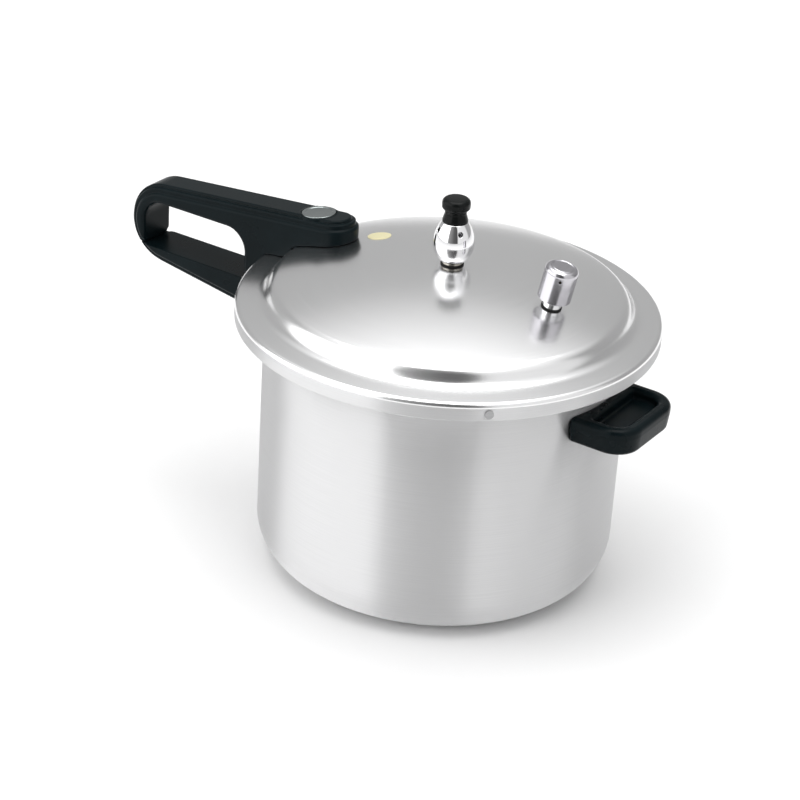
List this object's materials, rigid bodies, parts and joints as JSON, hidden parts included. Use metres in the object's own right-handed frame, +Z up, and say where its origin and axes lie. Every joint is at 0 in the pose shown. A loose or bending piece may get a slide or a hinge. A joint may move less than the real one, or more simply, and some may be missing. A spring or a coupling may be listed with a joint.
{
  "type": "stovetop pressure cooker",
  "caption": "Round aluminium pressure cooker with a domed bayonet lid, a black looped long handle, a helper grip, a centre regulator weight and a spring safety valve.",
  "frame": {"origin": "centre of the flat base, on the pot's axis", "axes": "+Z up along the pot's axis, +X towards the helper grip, -X along the long handle"},
  "size_m": [0.3775, 0.2554, 0.2373],
  "materials": {
    "pot_aluminium": "satin, brushed round the wall",
    "lid_aluminium": "polished",
    "bracket_steel": "bright zinc-plated sheet",
    "rivet_aluminium": "turned and headed",
    "phenolic": "moulded phenolic, soft sheen",
    "screw_steel": "bright plated",
    "cap_steel": "polished disc",
    "silicone": "smooth translucent white silicone",
    "washer_rubber": "black rubber",
    "badge_gold": "plain pale gold foil",
    "brass_nickel": "turned, nickel plated",
    "chrome": "bright chrome plate",
    "knob_black": "moulded, half gloss",
    "brass": "turned brass",
    "spring_steel": "drawn wire"
  },
  "bodies": {
    "pot": {"pot_body": "pot_aluminium", "handle_bracket": "bracket_steel", "handle_bracket_rivets": "rivet_aluminium", "lower_handle": "phenolic", "lower_handle_screw": "screw_steel", "helper_bracket": "bracket_steel", "helper_bracket_rivets": "rivet_aluminium", "helper_handle": "phenolic", "helper_screw": "screw_steel"},
    "lid": {"lid_shell": "lid_aluminium", "lid_stop_pin": "rivet_aluminium", "lid_gasket": "silicone", "badge": "badge_gold", "upper_handle": "phenolic", "handle_stud": "bracket_steel", "handle_screw": "screw_steel", "handle_cap": "cap_steel", "vent_pipe": "brass_nickel", "vent_washer_top": "washer_rubber", "vent_washer_bottom": "washer_rubber", "vent_nut": "brass_nickel", "vent_strainer": "bracket_steel", "safety_body": "chrome", "safety_washer_top": "washer_rubber", "safety_washer_bottom": "washer_rubber", "safety_nut": "brass_nickel", "safety_spring": "spring_steel", "safety_plug": "brass", "safety_cap": "chrome"},
    "regulator_pin": {"regulator_needle": "brass_nickel"},
    "regulator": {"regulator_weight": "chrome", "regulator_knob": "knob_black"},
    "relief_plunger": {"safety_plunger": "brass"}
  },
  "joints": [
    {"name": "lid_turn", "type": "hinge", "parent": "pot", "child": "lid", "pos_m": [0, 0, 0.162], "axis": [0, 0, 1], "range_deg": [0, 30]},
    {"name": "regulator_lift", "type": "slide", "parent": "lid", "child": "regulator_pin", "axis": [0, 0, 1], "range_m": [0, 0.02]},
    {"name": "regulator_spin", "type": "hinge", "parent": "regulator_pin", "child": "regulator", "pos_m": [0, 0, 0.2], "axis": [0, 0, 1], "continuous": true},
    {"name": "relief_lift", "type": "slide", "parent": "lid", "child": "relief_plunger", "axis": [0.1911, 0, 0.9816], "range_m": [0, 0.0025], "stiffness_N_per_m": 400, "springref_m": -0.004, "deforming": ["safety_spring"]}
  ]
}
